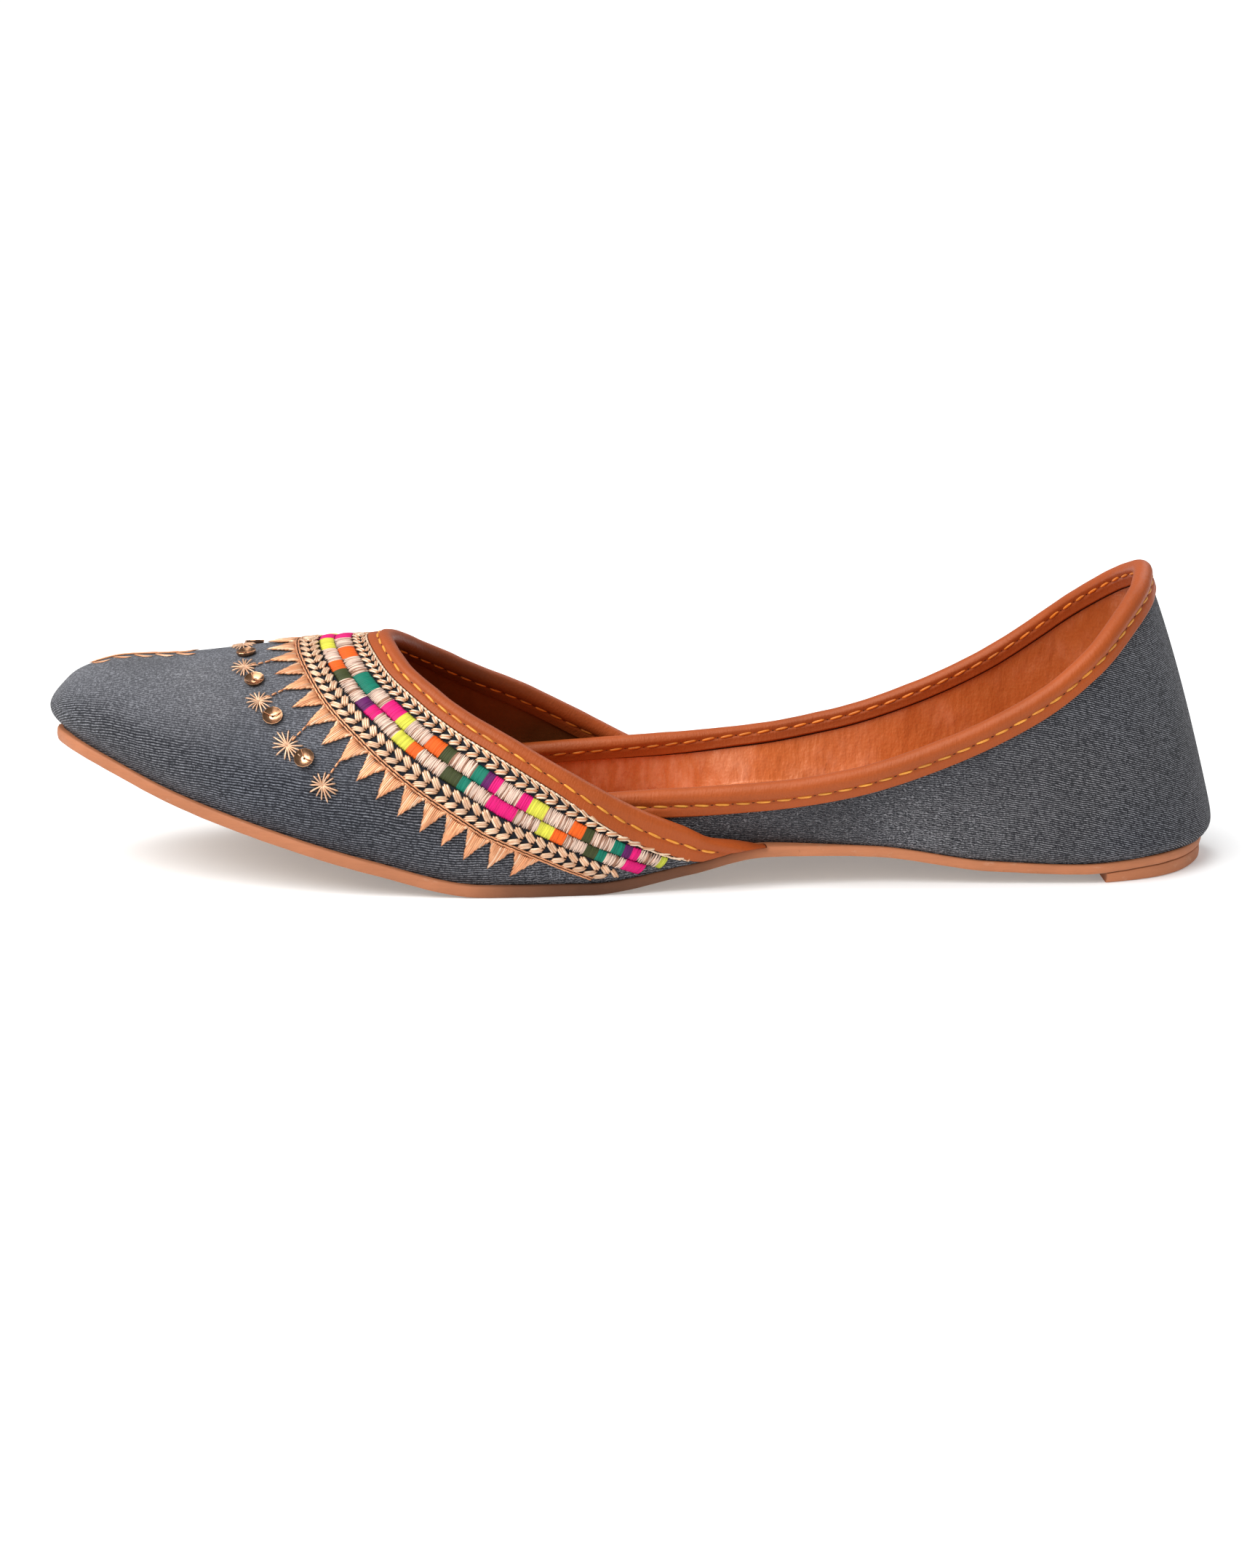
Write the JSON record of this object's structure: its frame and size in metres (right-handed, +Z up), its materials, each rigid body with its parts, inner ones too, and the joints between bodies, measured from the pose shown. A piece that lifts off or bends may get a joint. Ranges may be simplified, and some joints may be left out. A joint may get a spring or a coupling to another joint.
{
  "type": "jutti",
  "caption": "Flat slip-on shoe with a pointed toe, leather-bound throat and collar, embroidered border and sequins on a denim upper, thin leather sole.",
  "frame": {"origin": "on the floor, under the middle of the shoe's length and width", "axes": "+X from the toe to the heel, +Y across the shoe, +Z up"},
  "size_m": [0.2544, 0.0836, 0.0649],
  "materials": {
    "denim": "charcoal slub denim, matte",
    "binding_leather": "smooth tan leather, satin",
    "sole_leather": "plain veg-tan leather, matte",
    "sock_leather": "thin tan lining leather, satin",
    "thread": "rose-gold satin thread",
    "sequin_metal": "polished copper-coloured cup sequin"
  },
  "bodies": {
    "root": {"outsole": "sole_leather", "heel_lift": "sole_leather", "insole": "sock_leather", "upper_vamp": "denim", "upper_quarter": "denim", "throat_binding": "binding_leather", "collar_binding": "binding_leather", "embroidered_border": "thread", "sequin_1": "sequin_metal", "sequin_2": "sequin_metal", "sequin_3": "sequin_metal", "sequin_4": "sequin_metal", "sequin_5": "sequin_metal", "sequin_6": "sequin_metal", "sequin_7": "sequin_metal", "sequin_8": "sequin_metal"}
  },
  "joints": []
}
